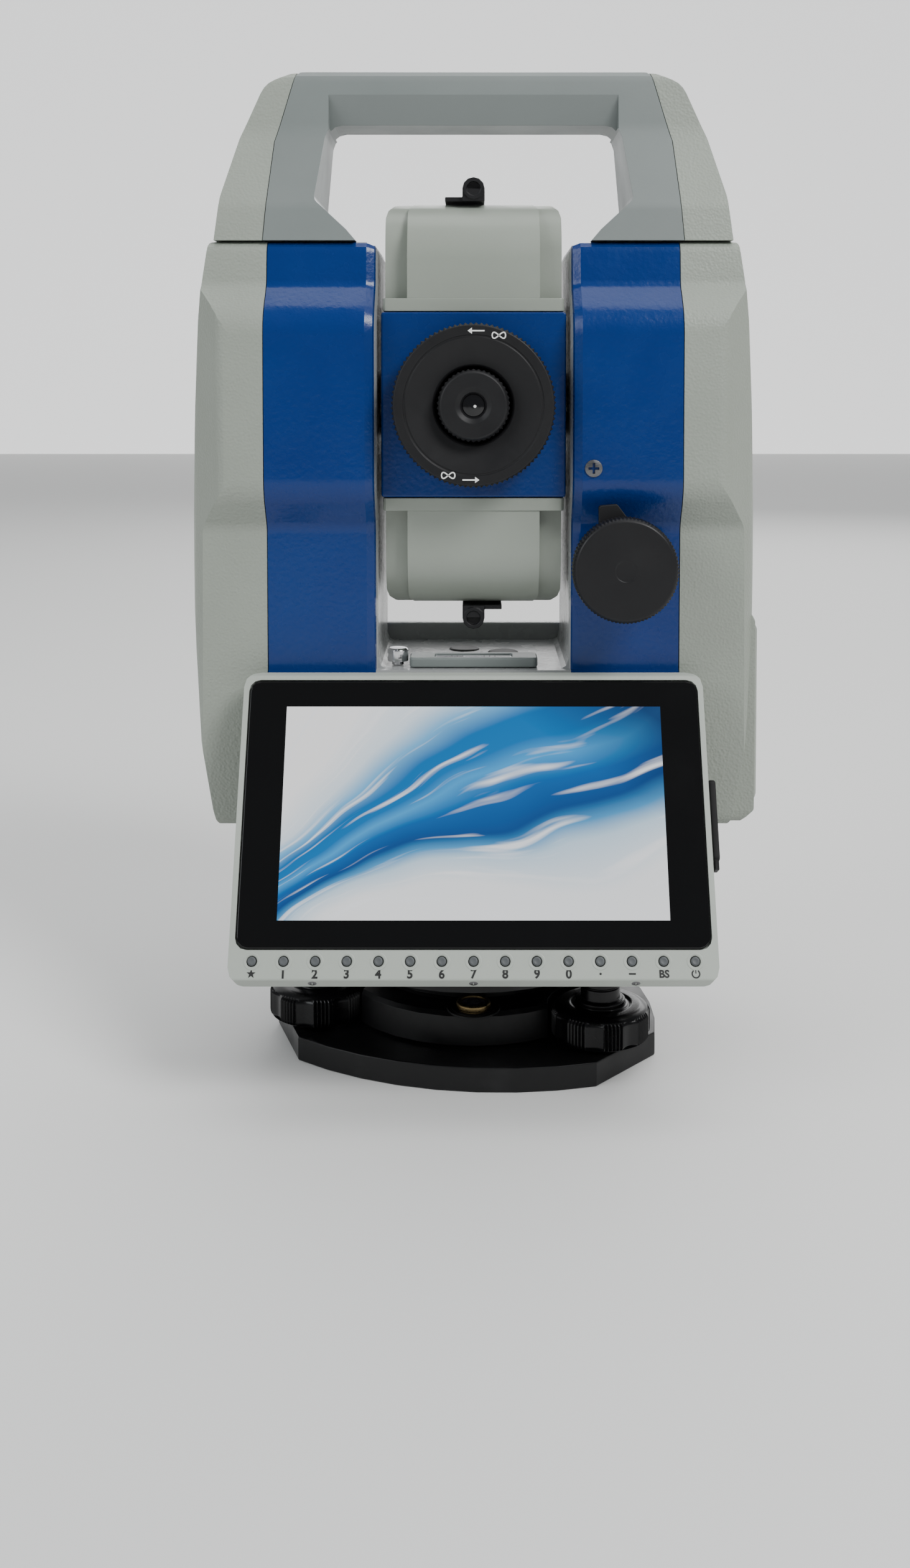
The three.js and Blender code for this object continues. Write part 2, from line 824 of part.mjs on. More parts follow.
function telescopeBody() {
  const block = alongY(rectangle(BLOCK, BLOCK, 1), -BLOCK_HALF_Y, BLOCK_HALF_Y, 0.8);
  return cut(
    block,
    turnedFront(disc(EYEPIECE_R + 1.3, 0, BLOCK_HALF_Y + 1)),
    turnedFront(disc(24.5, -BLOCK_HALF_Y - 1, 15)),
  );
}

// One half of the telescope's casing, for the top; an inset gives the hollow.
function casingBody(inset) {
  const bottom = BLOCK + GAP - (inset ? 1 : 0);
  const top = COVER_TOP - inset;
  const middle = common(
    alongY(rectangle(24 - inset, 40, 4, 0, top - 40), -38, 38),
    alongX(
      outline([
        [-37 + inset, bottom],
        [37 - inset, bottom],
        [36 - inset, top, 22 - inset],
        [-36 + inset, top, 22 - inset],
      ], 6),
      -40,
      40,
    ),
  );
  const wide = common(
    alongY(rectangle(32.2 - inset, 40, 6, 0, top - 40), -38, 38),
    alongX(
      outline([
        [-31 + inset, bottom],
        [31 - inset, bottom],
        [30 - inset, top, 18 - inset],
        [-30 + inset, top, 18 - inset],
      ], 6),
      -40,
      40,
    ),
  );
  return common(join(middle, wide), box([-50, -50, bottom], [50, 50, 90]));
}

function telescopeCover() {
  const flange = alongZ(rectangle(BLOCK - 0.6, 37.4, 2), BLOCK + GAP, BLOCK + 5, 0.4);
  return cut(join(casingBody(0), flange), casingBody(2.6));
}

function sight(footSide) {
  const tube = turnedFront(
    [
      [0, 6],
      [SIGHT_R, 6],
      [SIGHT_R, 26],
      [2.6, 26],
      [2.6, 24],
      [0, 24],
    ],
    SMALL_ROUND,
  ).translate([0, 0, SIGHT_CENTRE]);
  const foot = box(
    [Math.min(-SIGHT_R, footSide * 10.5), -24, COVER_TOP + GAP],
    [Math.max(SIGHT_R, footSide * 10.5), -8, COVER_TOP + 1.9],
  );
  const neck = box([-SIGHT_R, -25.5, COVER_TOP + GAP], [SIGHT_R, -6.5, SIGHT_CENTRE]);
  return join(tube, foot, neck);
}

function focusRing() {
  const face = 54.6;
  return turnedFront(
    [
      [EYEPIECE_R + 0.6, BLOCK_HALF_Y + GAP],
      [26, BLOCK_HALF_Y + GAP],
      [FOCUS_R, 42],
      [FOCUS_R, face - 1],
      [FOCUS_R - 1.2, face],
      [24.6, face],
      [14.2, face - 2.4],
      [EYEPIECE_R + 0.6, face - 8],
      [EYEPIECE_R + 0.6, BLOCK_HALF_Y + GAP],
    ],
    36,
  );
}

function eyepieceRing() {
  return turnedFront([
    [0, 20],
    [9, 20],
    [EYEPIECE_R, 30],
    [EYEPIECE_R, 57],
    [EYEPIECE_R - 1.2, 58.2],
    [5, 58.2],
    [4, 55.5],
    [0, 55.5],
  ]);
}

// The objective end points away from the observer, so its heights are negative.
// Behind the lens the barrel carries on as its sunshade.
function objectiveBarrel() {
  return turnedFront([
    [LENS_R + 0.3, -62],
    [25.5, -65],
    [25.5, -OBJECTIVE_END],
    [27.6, -OBJECTIVE_END],
    [28.4, -OBJECTIVE_END + 0.8],
    [28.4, -61],
    [30, -59.5],
    [30, -42],
    [28.5, -BLOCK_HALF_Y - GAP],
    [24, -BLOCK_HALF_Y - GAP],
    [24, -12],
    [LENS_R + 0.3, -12],
    [LENS_R + 0.3, -62],
  ]);
}

function objectiveLens() {
  return turnedFront([
    [0, -60.6],
    [8, -60.2],
    [15, -59],
    [LENS_R, -57],
    [LENS_R, -53],
    [0, -53],
  ]);
}

function telescope() {
  const group = new THREE.Group();
  group.position.z = TRUNNION_Z;
  group.add(part("telescope_body", telescopeBody(), BLUE));
  group.add(part("telescope_cover_top", telescopeCover(), GREY));
  group.add(part("telescope_cover_bottom", telescopeCover().rotate([0, 180, 0]), GREY));
  group.add(part("sight_top", sight(-1), BLACK));
  group.add(part("sight_bottom", sight(-1).rotate([0, 180, 0]), BLACK));
  group.add(part("focus_ring", focusRing(), BLACK));
  group.add(part("eyepiece_ring", eyepieceRing(), BLACK));
  group.add(part("focusing_lens", turnedFront(disc(11, -3, 3), 24), LENS));
  group.add(part("objective_barrel", objectiveBarrel(), BLACK_METAL));
  group.add(part("objective_lens", objectiveLens(), LENS));
  const axle = turnedX([
    [0, BLOCK + GAP],
    [AXLE_R, BLOCK + GAP],
    [AXLE_R, 58],
    [0, 58],
  ]);
  group.add(part("trunnion_axle_right", axle, STEEL));
  group.add(part("trunnion_axle_left", axle.mirror([1, 0, 0]), STEEL));
  const circlePlate = turnedX(ring(AXLE_R + GAP, 34, -53.5, -52));
  group.add(part("vertical_circle", circlePlate, LENS));
  return group;
}

// ---------------------------------------------------------------- assembly

function alidade() {
  const group = new THREE.Group();
  group.add(part("alidade_base", alidadeBase(), BLUE));
  group.add(part("yoke_frame", yokeFrame(), BLUE));
  group.add(part("side_cover_left", sideCover().mirror([1, 0, 0]), GREY));
  const rightCover = cut(join(sideCover(), batteryFrame()), batteryBay());
  group.add(part("side_cover_right", rightCover, GREY));
  group.add(part("battery_pack", batteryPack(), GREY));
  group.add(part("battery_latch", batteryLatch(), BLACK));
  group.add(part("handle_grip", handleGrip(), HANDLE_GREY));
  group.add(part("handle_cheek_right", handleCheek(), GREY));
  group.add(part("handle_cheek_left", handleCheek().mirror([1, 0, 0]), GREY));
  group.add(part("plate_level", plateLevel(), BLACK));
  group.add(part("capstan_screw", capstanScrew(), STEEL));
  const bearing = turnedX(ring(AXLE_R + GAP, BEARING_R - GAP, FORK_X + 0.5, FORK_X + 9));
  bearing.translate([0, 0, TRUNNION_Z]);
  for (const [name, side] of [["bearing_right", 0], ["bearing_left", Math.PI]]) {
    const race = part(name, bearing, STEEL);
    race.position.z = TRUNNION_Z;
    race.rotation.z = side;
    group.add(race);
  }
  const vertical = new THREE.Group();
  vertical.position.set(TANGENT_X, 0, TANGENT_Z);
  vertical.add(part("vertical_tangent_knob", verticalTangentKnob(), BLACK));
  vertical.add(part("vertical_clamp_lever", verticalClampLever(), BLACK));
  const horizontal = new THREE.Group();
  horizontal.position.z = SIDE_KNOB_Z;
  horizontal.add(part("horizontal_tangent_knob", horizontalTangentKnob(), BLACK));
  horizontal.add(part("horizontal_clamp_lever", horizontalClampLever(), BLACK));
  group.add(vertical, horizontal);
  return group;
}

const totalStation = new THREE.Group();
totalStation.add(tribrach(), verticalAxis(), alidade(), display(), telescope());

export default totalStation;
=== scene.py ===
"""Looks of the surveying total station: its finishes, and the surfaces that the plain frame parts
only stand for."""
import json
import math

import bmesh
import bpy
import numpy as np
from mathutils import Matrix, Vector


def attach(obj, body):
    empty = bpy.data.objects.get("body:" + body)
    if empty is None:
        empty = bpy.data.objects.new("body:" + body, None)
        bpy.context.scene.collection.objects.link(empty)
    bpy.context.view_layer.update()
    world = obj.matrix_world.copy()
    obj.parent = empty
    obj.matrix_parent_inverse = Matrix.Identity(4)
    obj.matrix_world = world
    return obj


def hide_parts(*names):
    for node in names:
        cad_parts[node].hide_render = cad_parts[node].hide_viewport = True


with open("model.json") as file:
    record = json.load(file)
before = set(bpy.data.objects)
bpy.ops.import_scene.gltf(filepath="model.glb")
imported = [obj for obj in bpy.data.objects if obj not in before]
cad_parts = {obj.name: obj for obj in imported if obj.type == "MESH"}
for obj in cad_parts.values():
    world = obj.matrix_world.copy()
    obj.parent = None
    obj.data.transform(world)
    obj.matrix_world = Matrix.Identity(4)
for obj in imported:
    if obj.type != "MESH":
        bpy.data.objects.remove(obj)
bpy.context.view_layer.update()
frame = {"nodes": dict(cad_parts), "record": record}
MM = 0.001
TAU = 2 * math.pi

# ---------------------------------------------------------------- places, in millimetres

TRUNNION = 240.5
PANEL_TOP = np.array([0.0, -46.0, 143.3])
PANEL_BOTTOM = np.array([0.0, -92.0, 49.7])
PANEL_CENTRE = (PANEL_TOP + PANEL_BOTTOM) / 2
PANEL_UP = (PANEL_TOP - PANEL_BOTTOM) / np.linalg.norm(PANEL_TOP - PANEL_BOTTOM)
PANEL_RIGHT = np.array([1.0, 0.0, 0.0])
PANEL_OUT = np.cross(PANEL_RIGHT, PANEL_UP)
KEY_COUNT, KEY_PITCH = 15, 10.6
KEY_PLACES = (np.arange(KEY_COUNT) - KEY_COUNT // 2) * KEY_PITCH
KEY_ROW = -46.1
TRIBRACH_TURN = math.radians(-11.5)
FOOT_SCREWS = [math.radians(a) + TRIBRACH_TURN for a in (210, 330, 90)]
SCREW_CIRCLE = 62.0
LEVEL_PLACE = (0, -46.5, 0)
VERTICAL_TANGENT_PLACE = (53.3, 0, 182.8)
HORIZONTAL_TANGENT_PLACE = (0, 0, 65.5)
CAPSTAN_PLACE = (-28.1, -25, 0)
COLUMN_SCREW_PLACE = (43.0, -45.9, 217.9)
VIAL_Y, VIAL_Z = -26, 145.4
# distances from the centre plane, in metres, between which the fork's grey gives way to blue
GREY_EDGE = (0.03555, 0.03575)
SHARP_FROM = math.radians(38)
CAMERA_TILT = 2.56


# ---------------------------------------------------------------- finishes

class Finish:
    """A node material under construction: one Principled shader fed by patterns on Object coordinates."""

    def __init__(self, name, colour, roughness, metallic=0.0, **sockets):
        self.material = bpy.data.materials.new(name)
        self.material.use_nodes = True
        self.tree = self.material.node_tree
        self.shader = self.tree.nodes["Principled BSDF"]
        self.colour = (*colour, 1.0)
        self.set("Base Color", self.colour)
        self.set("Roughness", roughness)
        self.set("Metallic", metallic)
        for key, value in sockets.items():
            self.set(key.replace("_", " "), value)
        self.place = self.add("ShaderNodeTexCoord").outputs["Object"]
        self.height = None

    def set(self, socket, value):
        self.shader.inputs[socket].default_value = value

    def add(self, kind, **values):
        node = self.tree.nodes.new(kind)
        for key, value in values.items():
            setattr(node, key, value)
        return node

    def link(self, source, target):
        self.tree.links.new(source, target)

    def noise(self, per_metre, detail=3.0, rough=0.55, stretch=None):
        """A cloud pattern with so many lumps to the metre, stretched by a factor along each axis."""
        texture = self.add("ShaderNodeTexNoise")
        texture.inputs["Scale"].default_value = per_metre
        texture.inputs["Detail"].default_value = detail
        texture.inputs["Roughness"].default_value = rough
        place = self.place
        if stretch:
            mapping = self.add("ShaderNodeMapping")
            mapping.inputs["Scale"].default_value = stretch
            self.link(place, mapping.inputs["Vector"])
            place = mapping.outputs["Vector"]
        self.link(place, texture.inputs["Vector"])
        return texture.outputs["Fac"]

    def cells(self, per_metre):
        """A leather-like pattern: the distance from the nearest of many scattered points."""
        texture = self.add("ShaderNodeTexVoronoi", feature="SMOOTH_F1")
        texture.inputs["Scale"].default_value = per_metre
        texture.inputs["Smoothness"].default_value = 0.6
        self.link(self.place, texture.inputs["Vector"])
        return texture.outputs["Distance"]

    def span(self, value, low, high, new_low, new_high):
        """The value carried from one range to another and kept inside it."""
        node = self.add("ShaderNodeMapRange")
        for i, number in enumerate((low, high, new_low, new_high), start=1):
            node.inputs[i].default_value = number
        self.link(value, node.inputs[0])
        return node.outputs[0]

    def bump(self, value, depth_mm, strength=1.0):
        """Relief of the given depth, laid over any relief already there."""
        node = self.add("ShaderNodeBump")
        node.inputs["Strength"].default_value = strength
        node.inputs["Distance"].default_value = depth_mm * MM
        self.link(value, node.inputs["Height"])
        if self.height:
            self.link(self.height, node.inputs["Normal"])
        self.height = node.outputs["Normal"]
        self.link(self.height, self.shader.inputs["Normal"])

    def tint(self, value, other):
        """Base colour mixed towards another colour by the value."""
        mix = self.add("ShaderNodeMix", data_type="RGBA")
        mix.inputs["A"].default_value = self.colour
        mix.inputs["B"].default_value = (*other, 1.0)
        held = self.shader.inputs["Base Color"].links
        if held:
            self.link(held[0].from_socket, mix.inputs["A"])
        self.link(value, mix.inputs["Factor"])
        self.link(mix.outputs["Result"], self.shader.inputs["Base Color"])

    def gloss(self, value, low, high):
        """Roughness led by the value, from the low figure to the high one."""
        self.link(self.span(value, 0.3, 0.7, low, high), self.shader.inputs["Roughness"])


def blue_paint():
    """Deep blue enamel with an orange-peel surface and soft changes of tone."""
    f = Finish("blue_enamel", (0.0003, 0.022, 0.138), 0.26, Specular_IOR_Level=0.30,
               Coat_Weight=0.12, Coat_Roughness=0.10)
    f.bump(f.noise(560, 2.5, 0.5), 0.13)
    f.tint(f.span(f.noise(22, 4.0), 0.35, 0.75, 0.0, 0.35), (0.001, 0.040, 0.185))
    f.gloss(f.noise(90), 0.22, 0.31)
    return f


def yoke_paint():
    """The blue enamel, changed to bare grey where the distance from the centre plane is inside the fork."""
    f = blue_paint()
    f.material.name = "yoke_enamel"
    split = f.add("ShaderNodeSeparateXYZ")
    f.link(f.place, split.inputs[0])
    away = f.add("ShaderNodeMath", operation="ABSOLUTE")
    f.link(split.outputs["X"], away.inputs[0])
    grey = f.span(away.outputs[0], *GREY_EDGE, 1.0, 0.0)
    f.tint(grey, (0.36, 0.37, 0.37))
    return f.material


def cover_grain(name, colour):
    """Moulded casing plastic with a fine leather grain and a faint mottling."""
    f = Finish(name, colour, 0.52)
    f.bump(f.cells(1050), 0.20, 0.9)
    f.bump(f.noise(1800, 2.0), 0.03, 0.6)
    darker = tuple(c * 0.86 for c in colour)
    f.tint(f.span(f.noise(14, 5.0), 0.35, 0.7, 0.0, 0.6), darker)
    f.gloss(f.noise(60), 0.46, 0.60)
    return f.material


def satin_plastic(name, colour, roughness=0.42, mottle=0.9, grain=0.03):
    """Smooth casing paint: a faint orange peel and soft changes of tone."""
    f = Finish(name, colour, roughness)
    f.bump(f.noise(900, 2.0), grain, 0.7)
    f.tint(f.span(f.noise(18, 4.0), 0.35, 0.7, 0.0, 0.5), tuple(c * mottle for c in colour))
    f.gloss(f.noise(40), roughness - 0.05, roughness + 0.07)
    return f.material


def black_moulding(name, roughness=0.42, colour=(0.0045, 0.0045, 0.005)):
    """Black moulded plastic with a spark-eroded grain and grey handling marks."""
    f = Finish(name, colour, roughness, Specular_IOR_Level=0.28)
    f.bump(f.noise(2600, 2.0), 0.02, 0.7)
    f.tint(f.span(f.noise(35, 6.0, 0.65), 0.55, 0.8, 0.0, 0.4), (0.014, 0.014, 0.015))
    f.gloss(f.noise(70), roughness - 0.08, roughness + 0.10)
    return f.material


def black_anodised(name, roughness=0.34):
    """Black anodised casting: satin, slightly metallic, with cloudy wear."""
    f = Finish(name, (0.005, 0.005, 0.0055), roughness, 0.0, Specular_IOR_Level=0.32)
    f.bump(f.noise(1500, 3.0), 0.03, 0.6)
    f.tint(f.span(f.noise(28, 6.0, 0.7), 0.52, 0.85, 0.0, 0.6), (0.022, 0.022, 0.023))
    f.gloss(f.noise(45, 4.0), roughness - 0.08, roughness + 0.14)
    return f.material


def metal(name, colour, roughness):
    """Machined metal: fine turning lines drawn out along one axis."""
    f = Finish(name, colour, roughness, 1.0)
    lines = f.noise(700, 2.0, 0.6, (1.0, 1.0, 8.0))
    f.bump(lines, 0.01, 0.6)
    f.gloss(lines, roughness * 0.7, roughness * 1.5)
    return f.material


def polished_black():
    """Cover glass over black: a mirror-smooth coat with faint smears."""
    f = Finish("cover_glass", (0.002, 0.002, 0.0022), 0.06, Specular_IOR_Level=0.35)
    f.gloss(f.noise(30, 5.0), 0.05, 0.16)
    f.bump(f.noise(12, 2.0), 0.002, 0.3)
    return f.material


def plain_print(name, colour, roughness=0.5):
    """Screen-printed ink, with a slightly uneven tone."""
    f = Finish(name, colour, roughness)
    f.tint(f.span(f.noise(800, 3.0), 0.5, 0.8, 0.0, 0.3), tuple(c * 0.7 + 0.01 for c in colour))
    return f.material


def coated_lens(name, colour):
    """Dark bloomed glass, with a tint that shifts to violet at grazing angles."""
    f = Finish(name, colour, 0.03, Coat_Weight=1.0, Coat_Roughness=0.01, Coat_IOR=1.9)
    facing = f.add("ShaderNodeLayerWeight")
    facing.inputs["Blend"].default_value = 0.35
    f.tint(facing.outputs["Facing"], (0.05, 0.02, 0.10))
    f.bump(f.noise(20, 1.0), 0.001, 0.2)
    return f.material


def screen_picture():
    """The lit display: ribbons of white and blue light that flow from corner to corner."""
    f = Finish("screen_picture", (0.0, 0.0, 0.0), 0.12, Coat_Weight=0.4, Coat_Roughness=0.04)
    uv = f.add("ShaderNodeUVMap", uv_map="screen")
    f.place = uv.outputs["UV"]
    split = f.add("ShaderNodeSeparateXYZ")
    f.link(f.place, split.inputs[0])

    def calc(operation, a, b=None):
        node = f.add("ShaderNodeMath", operation=operation)
        for i, value in enumerate((a, b)):
            if value is None:
                continue
            if isinstance(value, (int, float)):
                node.inputs[i].default_value = value
            else:
                f.link(value, node.inputs[i])
        return node.outputs[0]

    u, v = split.outputs["X"], split.outputs["Y"]
    # share of the way from the ribbon's lower edge to its upper one; it widens to the upper right
    wave = calc("MULTIPLY", calc("SINE", calc("MULTIPLY", u, 5.4)), 0.085)
    low = calc("ADD", calc("MULTIPLY", u, 0.66), wave)
    drift = calc("MULTIPLY", calc("SUBTRACT", f.noise(1.9, 1.5), 0.5), 0.30)
    wide = calc("ADD", calc("MULTIPLY", u, 0.62), 0.26)
    off = calc("DIVIDE", calc("ADD", calc("SUBTRACT", v, low), drift), wide)
    ramp = f.add("ShaderNodeValToRGB")
    f.link(f.span(off, -1.0, 2.0, 0.0, 1.0), ramp.inputs["Fac"])
    stops = [
        (0.00, (0.97, 0.97, 0.98)), (0.20, (0.90, 0.93, 0.96)), (0.285, (0.55, 0.72, 0.86)),
        (0.325, (0.06, 0.30, 0.60)), (0.365, (0.002, 0.060, 0.24)), (0.43, (0.004, 0.110, 0.38)),
        (0.485, (0.05, 0.34, 0.72)), (0.53, (0.008, 0.16, 0.46)), (0.60, (0.010, 0.15, 0.44)),
        (0.68, (0.16, 0.46, 0.78)), (0.77, (0.72, 0.83, 0.92)), (1.00, (0.97, 0.97, 0.98)),
    ]
    elements = ramp.color_ramp.elements
    while len(elements) < len(stops):
        elements.new(0.5)
    for element, (place, colour) in zip(elements, stops):
        element.position = place
        element.color = (*colour, 1.0)
    # fine bright threads that follow the ribbon, and broad soft ones beside them
    thread_map = f.add("ShaderNodeCombineXYZ")
    f.link(calc("MULTIPLY", u, 0.9), thread_map.inputs["X"])
    f.link(calc("MULTIPLY", off, 3.2), thread_map.inputs["Y"])
    f.place = thread_map.outputs["Vector"]
    threads = f.span(f.noise(2.6, 2.6, 0.5), 0.56, 0.70, 0.0, 0.92)
    dark_corner = f.span(calc("ADD", calc("MULTIPLY", u, 0.9), calc("MULTIPLY", v, 0.7)), 1.22, 1.55, 0.0, 0.92)
    shade = f.add("ShaderNodeMix", data_type="RGBA")
    f.link(dark_corner, shade.inputs["Factor"])
    f.link(ramp.outputs["Color"], shade.inputs["A"])
    shade.inputs["B"].default_value = (0.001, 0.025, 0.12, 1.0)
    light = f.add("ShaderNodeMix", data_type="RGBA")
    f.link(threads, light.inputs["Factor"])
    f.link(shade.outputs["Result"], light.inputs["A"])
    light.inputs["B"].default_value = (0.93, 0.96, 1.0, 1.0)
    f.link(light.outputs["Result"], f.shader.inputs["Emission Color"])
    f.set("Emission Strength", 1.15)
    return f.material


BLUE = blue_paint().material
YOKE = yoke_paint()
COVER = cover_grain("cover_grain", (0.285, 0.312, 0.270))
CASING = satin_plastic("casing_satin", (0.275, 0.302, 0.262), 0.36)
HANDLE = satin_plastic("handle_satin", (0.180, 0.204, 0.198), 0.42)
BEZEL = satin_plastic("bezel_satin", (0.375, 0.405, 0.365), 0.46)
BLACK = black_moulding("black_moulding")
KNOB_BLACK = black_moulding("knob_black", 0.46, (0.0085, 0.0085, 0.0095))
FOOT_BLACK = black_moulding("foot_screw_black", 0.24, (0.004, 0.004, 0.0045))
RUBBER = black_moulding("port_rubber", 0.62, (0.007, 0.007, 0.007))
CASTING = black_anodised("black_casting")
BARREL = black_anodised("barrel_black", 0.28)
GLASS = polished_black()
PICTURE = screen_picture()
STEEL = metal("machined_steel", (0.42, 0.42, 0.43), 0.28)
CHROME = metal("chrome", (0.60, 0.60, 0.61), 0.12)
BRASS = metal("brass", (0.26, 0.19, 0.09), 0.3)
SCREW_METAL = metal("blackened_screw", (0.16, 0.16, 0.165), 0.34)
KEY = satin_plastic("key_grey", (0.075, 0.082, 0.086), 0.48)
LENS = coated_lens("coated_lens", (0.010, 0.022, 0.030))
EYE_LENS = satin_plastic("eye_lens", (0.002, 0.002, 0.003), 0.08, 1.0, 0.001)
WHITE_INK = plain_print("white_ink", (0.80, 0.80, 0.78))
BLACK_INK = plain_print("black_ink", (0.012, 0.012, 0.012))
PLUG = black_moulding("plug_grey", 0.6, (0.055, 0.055, 0.055))
LIQUID = coated_lens("level_liquid", (0.035, 0.038, 0.026))


# ---------------------------------------------------------------- shapes

def grid_quads(rows, columns, closed):
    """Corner numbers of the quads of a grid of points, joined round at the last column where closed."""
    r = np.arange(rows - 1)[:, None]
    c = np.arange(columns if closed else columns - 1)[None, :]
    n = (c + 1) % columns
    quads = np.stack([r * columns + c, r * columns + n, (r + 1) * columns + n, (r + 1) * columns + c], -1)
    return quads.reshape(-1, 4)


def ring_stack(points, cap=True):
    """Faces of rings of points, one row to a ring, with a flat face over the first and the last ring."""
    rows, columns = points.shape[:2]
    faces = grid_quads(rows, columns, True).tolist()
    if cap:
        faces.append(list(range(columns))[::-1])
        faces.append(list(range((rows - 1) * columns, rows * columns)))
    return points.reshape(-1, 3), faces


def piece(name, points, faces, body, material, slot, replaces=(), smooth=True):
    """A mesh from points in millimetres, with its faces turned outwards, riding on a body."""
    mesh = bpy.data.meshes.new(name)
    mesh.from_pydata((np.asarray(points, float) * MM).tolist(), [], faces)
    shell = bmesh.new()
    shell.from_mesh(mesh)
    bmesh.ops.remove_doubles(shell, verts=shell.verts, dist=1e-7)
    bmesh.ops.recalc_face_normals(shell, faces=shell.faces)
    shell.to_mesh(mesh)
    shell.free()
    mesh.update()
    return place(name, mesh, body, material, slot, replaces, smooth)


def place(name, mesh, body, material, slot, replaces=(), smooth=True):
    """Puts a mesh in the scene as a named piece of the object."""
    obj = bpy.data.objects.new(name, mesh)
    bpy.context.scene.collection.objects.link(obj)
    mesh.materials.clear()
    mesh.materials.append(material)
    mesh.polygons.foreach_set("use_smooth", np.full(len(mesh.polygons), smooth))
    if smooth:
        mesh.set_sharp_from_angle(angle=SHARP_FROM)
    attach(obj, body)
    if replaces:
        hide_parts(*replaces)
    return obj


def softened(name, node, radius, material, slot, segments=3, angle=24, widths=None):
    """A copy of a frame solid, its flat faces joined and its edges rounded to an arc of the radius,
    which widths(x, y, z) scales by the place of the edge's middle in millimetres."""
    mesh = frame["nodes"][node].data.copy()
    mesh.name = name
    body = bmesh.new()
    body.from_mesh(mesh)
    bmesh.ops.remove_doubles(body, verts=body.verts, dist=2e-6)
    bmesh.ops.dissolve_limit(body, angle_limit=math.radians(1.0), verts=body.verts, edges=body.edges)
    layer = body.edges.layers.float.new("bevel_weight_edge")
    for edge in body.edges:
        if len(edge.link_faces) == 2 and edge.calc_face_angle() > math.radians(angle):
            middle = (edge.verts[0].co + edge.verts[1].co) / 2 / MM
            edge[layer] = widths(*middle) if widths else 1.0
    body.to_mesh(mesh)
    body.free()
    owner = next(b for b, members in frame["record"]["behaviour"]["bodies"].items() if node in members)
    obj = place(name, mesh, owner, material, slot, (node,))
    bevel = obj.modifiers.new("edges", "BEVEL")
    bevel.width = radius * MM
    bevel.segments = segments
    bevel.limit_method = "WEIGHT"
    normals = obj.modifiers.new("normals", "WEIGHTED_NORMAL")
    normals.keep_sharp = True
    return obj


def rounded_profile(points, radius, steps=4):
    """A turned outline of (radius, height, rim), each inner corner replaced by a quadratic curve that
    starts and ends the given radius from it, or 0.45 of the shorter side where that is less."""
    out = [points[0]]
    for before, corner, after in zip(points, points[1:], points[2:]):
        p, c, n = (np.array(q[:2], float) for q in (before, corner, after))
        a, b = p - c, n - c
        la, lb = np.linalg.norm(a), np.linalg.norm(b)
        r = min(radius, 0.45 * la, 0.45 * lb)
        t = np.linspace(0, 1, steps + 1)[:, None]
        arc = (1 - t) ** 2 * (c + a / la * r) + 2 * t * (1 - t) * c + t ** 2 * (c + b / lb * r)
        out.extend((x, y, corner[2]) for x, y in arc)
    out.append(points[-1])
    return np.array(out, float)


AXES = {
    "up": np.eye(3),
    "front": np.array([[1.0, 0, 0], [0, 0, 1.0], [0, -1.0, 0]]),
    "right": np.array([[0, 1.0, 0], [0, 0, 1.0], [1.0, 0, 0]]),
}


def turned(name, outline, centre, way, body, material, slot, replaces=(), sides=96, radius=0.6,
           flutes=None):
    """A turned piece: ring i has radius r and height h from the outline; the angle runs round the sides.
    flutes(angle) is taken off the radius where the outline's third number, the rim share, says so."""
    profile = rounded_profile([(p[0], p[1], p[2] if len(p) > 2 else 0.0) for p in outline], radius)
    angle = np.arange(sides) / sides * TAU
    cut = flutes(angle) if flutes else np.zeros(sides)
    r = np.clip(profile[:, 0:1] - profile[:, 2:3] * cut[None, :], 0, None)
    local = np.stack([r * np.cos(angle), r * np.sin(angle), np.repeat(profile[:, 1:2], sides, 1)], -1)
    points = local @ AXES[way] + np.array(centre, float)
    faces = grid_quads(len(profile), sides, True).tolist()
    points = points.reshape(-1, 3)
    obj = piece(name, points, faces, body, material, slot, replaces)
    obj.modifiers.new("normals", "WEIGHTED_NORMAL").keep_sharp = True
    return obj


def ribs(count, depth):
    """Even V-shaped grooves round a rim: the cut falls to nothing and rises again once to a rib."""
    return lambda angle: depth * np.abs(((angle * count / TAU) % 1.0) * 2 - 1)


def grip_flutes(angle):
    """Eight groups of five ribs, as raised cosines, with a shallow hollow, half a sine wave, between
    one group and the next."""
    turn = (angle * 8 / TAU) % 1.0
    rib = 0.85 * (0.5 - 0.5 * np.cos(turn / 0.5 * 5 * TAU))
    hollow = 0.9 * np.sin(np.clip((turn - 0.5) / 0.5, 0, 1) * math.pi) + 0.25
    return np.where(turn < 0.5, rib, hollow)


def on_panel(points):
    """Points given as right, up and out of the display panel, carried to their place."""
    p = np.atleast_2d(np.asarray(points, float))
    return PANEL_CENTRE + p[:, :1] * PANEL_RIGHT + p[:, 1:2] * PANEL_UP + p[:, 2:3] * PANEL_OUT


# ---------------------------------------------------------------- frame solids with rounded edges

def handle_widths(x, y, z):
    """The window's rim has a broad bevel, the joint with the cheeks hardly any."""
    if abs(x) < 62 and 302 < z < 346:
        return 1.0
    joint = abs(abs(x) - np.interp(z, [300, 338, 365], [77, 74, 66])) < 1.0
    return 0.07 if joint else 0.4


def cover_widths(x, y, z):
    """The seam with the column keeps a tight edge."""
    return 0.25 if abs(x) < 76.5 else 1.0


def yoke_widths(x, y, z):
    """Edges at the cover's seam and inside the fork stay tight."""
    return 0.12 if abs(x) > 74 or abs(x) < 34.5 else 1.0


